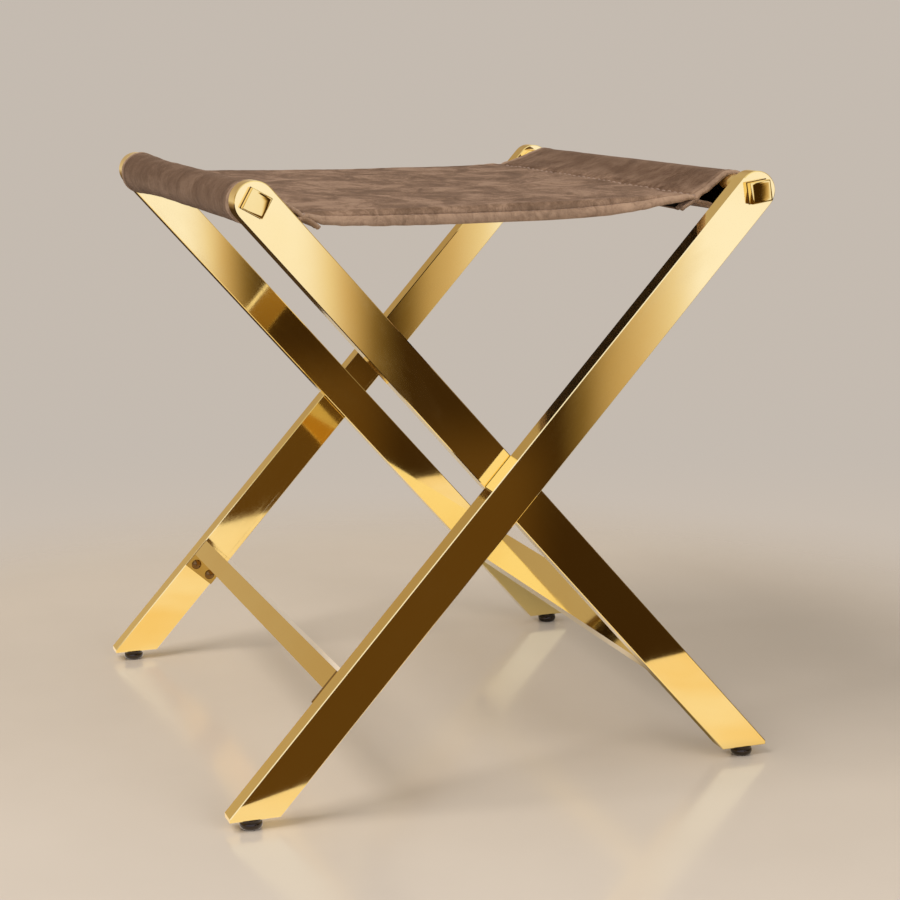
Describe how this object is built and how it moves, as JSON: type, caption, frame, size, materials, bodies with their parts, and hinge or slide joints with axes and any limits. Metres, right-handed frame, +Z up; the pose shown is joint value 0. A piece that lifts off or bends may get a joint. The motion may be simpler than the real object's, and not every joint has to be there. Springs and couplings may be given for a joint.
{
  "type": "folding x frame stool",
  "caption": "Folding stool with crossed flat brass bars, a suede sling seat hung on two rods, low stretchers and small black glides.",
  "frame": {"origin": "on the floor, under the middle of the stool", "axes": "+X across the crossed legs, to the side of the outer frame's rod; +Y away from the near legs, along the rods; +Z up"},
  "size_m": [0.4394, 0.4648, 0.461],
  "materials": {
    "polished_brass": "polished, mirror-like, slightly warm",
    "cap_brass": "polished, softly rounded edges",
    "dark_brass": "darkened",
    "steel_pin": "ground",
    "nylon_washer": "plain",
    "black_glide": "glossy",
    "suede": "napped suede, taupe brown"
  },
  "bodies": {
    "outer_frame": {"outer_leg_front": "polished_brass", "outer_plate_front": "polished_brass", "outer_glide_front": "black_glide", "outer_leg_back": "polished_brass", "outer_plate_back": "polished_brass", "outer_glide_back": "black_glide", "outer_stretcher": "polished_brass", "outer_plate_screws": "dark_brass", "right_rod": "polished_brass", "right_cap_bolt_front": "cap_brass", "pivot_pin_front": "steel_pin", "pivot_washer_front": "nylon_washer", "right_cap_bolt_back": "cap_brass", "pivot_pin_back": "steel_pin", "pivot_washer_back": "nylon_washer", "right_pocket": "suede", "seat_panel": "suede"},
    "inner_frame": {"inner_leg_front": "polished_brass", "inner_plate_front": "polished_brass", "inner_glide_front": "black_glide", "inner_leg_back": "polished_brass", "inner_plate_back": "polished_brass", "inner_glide_back": "black_glide", "inner_stretcher": "polished_brass", "inner_plate_screws": "dark_brass", "left_rod": "polished_brass", "left_cap_bolt_front": "cap_brass", "left_cap_bolt_back": "cap_brass", "left_pocket": "suede"}
  },
  "joints": [
    {"name": "fold", "type": "hinge", "parent": "outer_frame", "child": "inner_frame", "pos_m": [0, 0, 0.235], "axis": [0, 1, 0], "range_deg": [0, 73], "deforming": ["seat_panel"]}
  ]
}
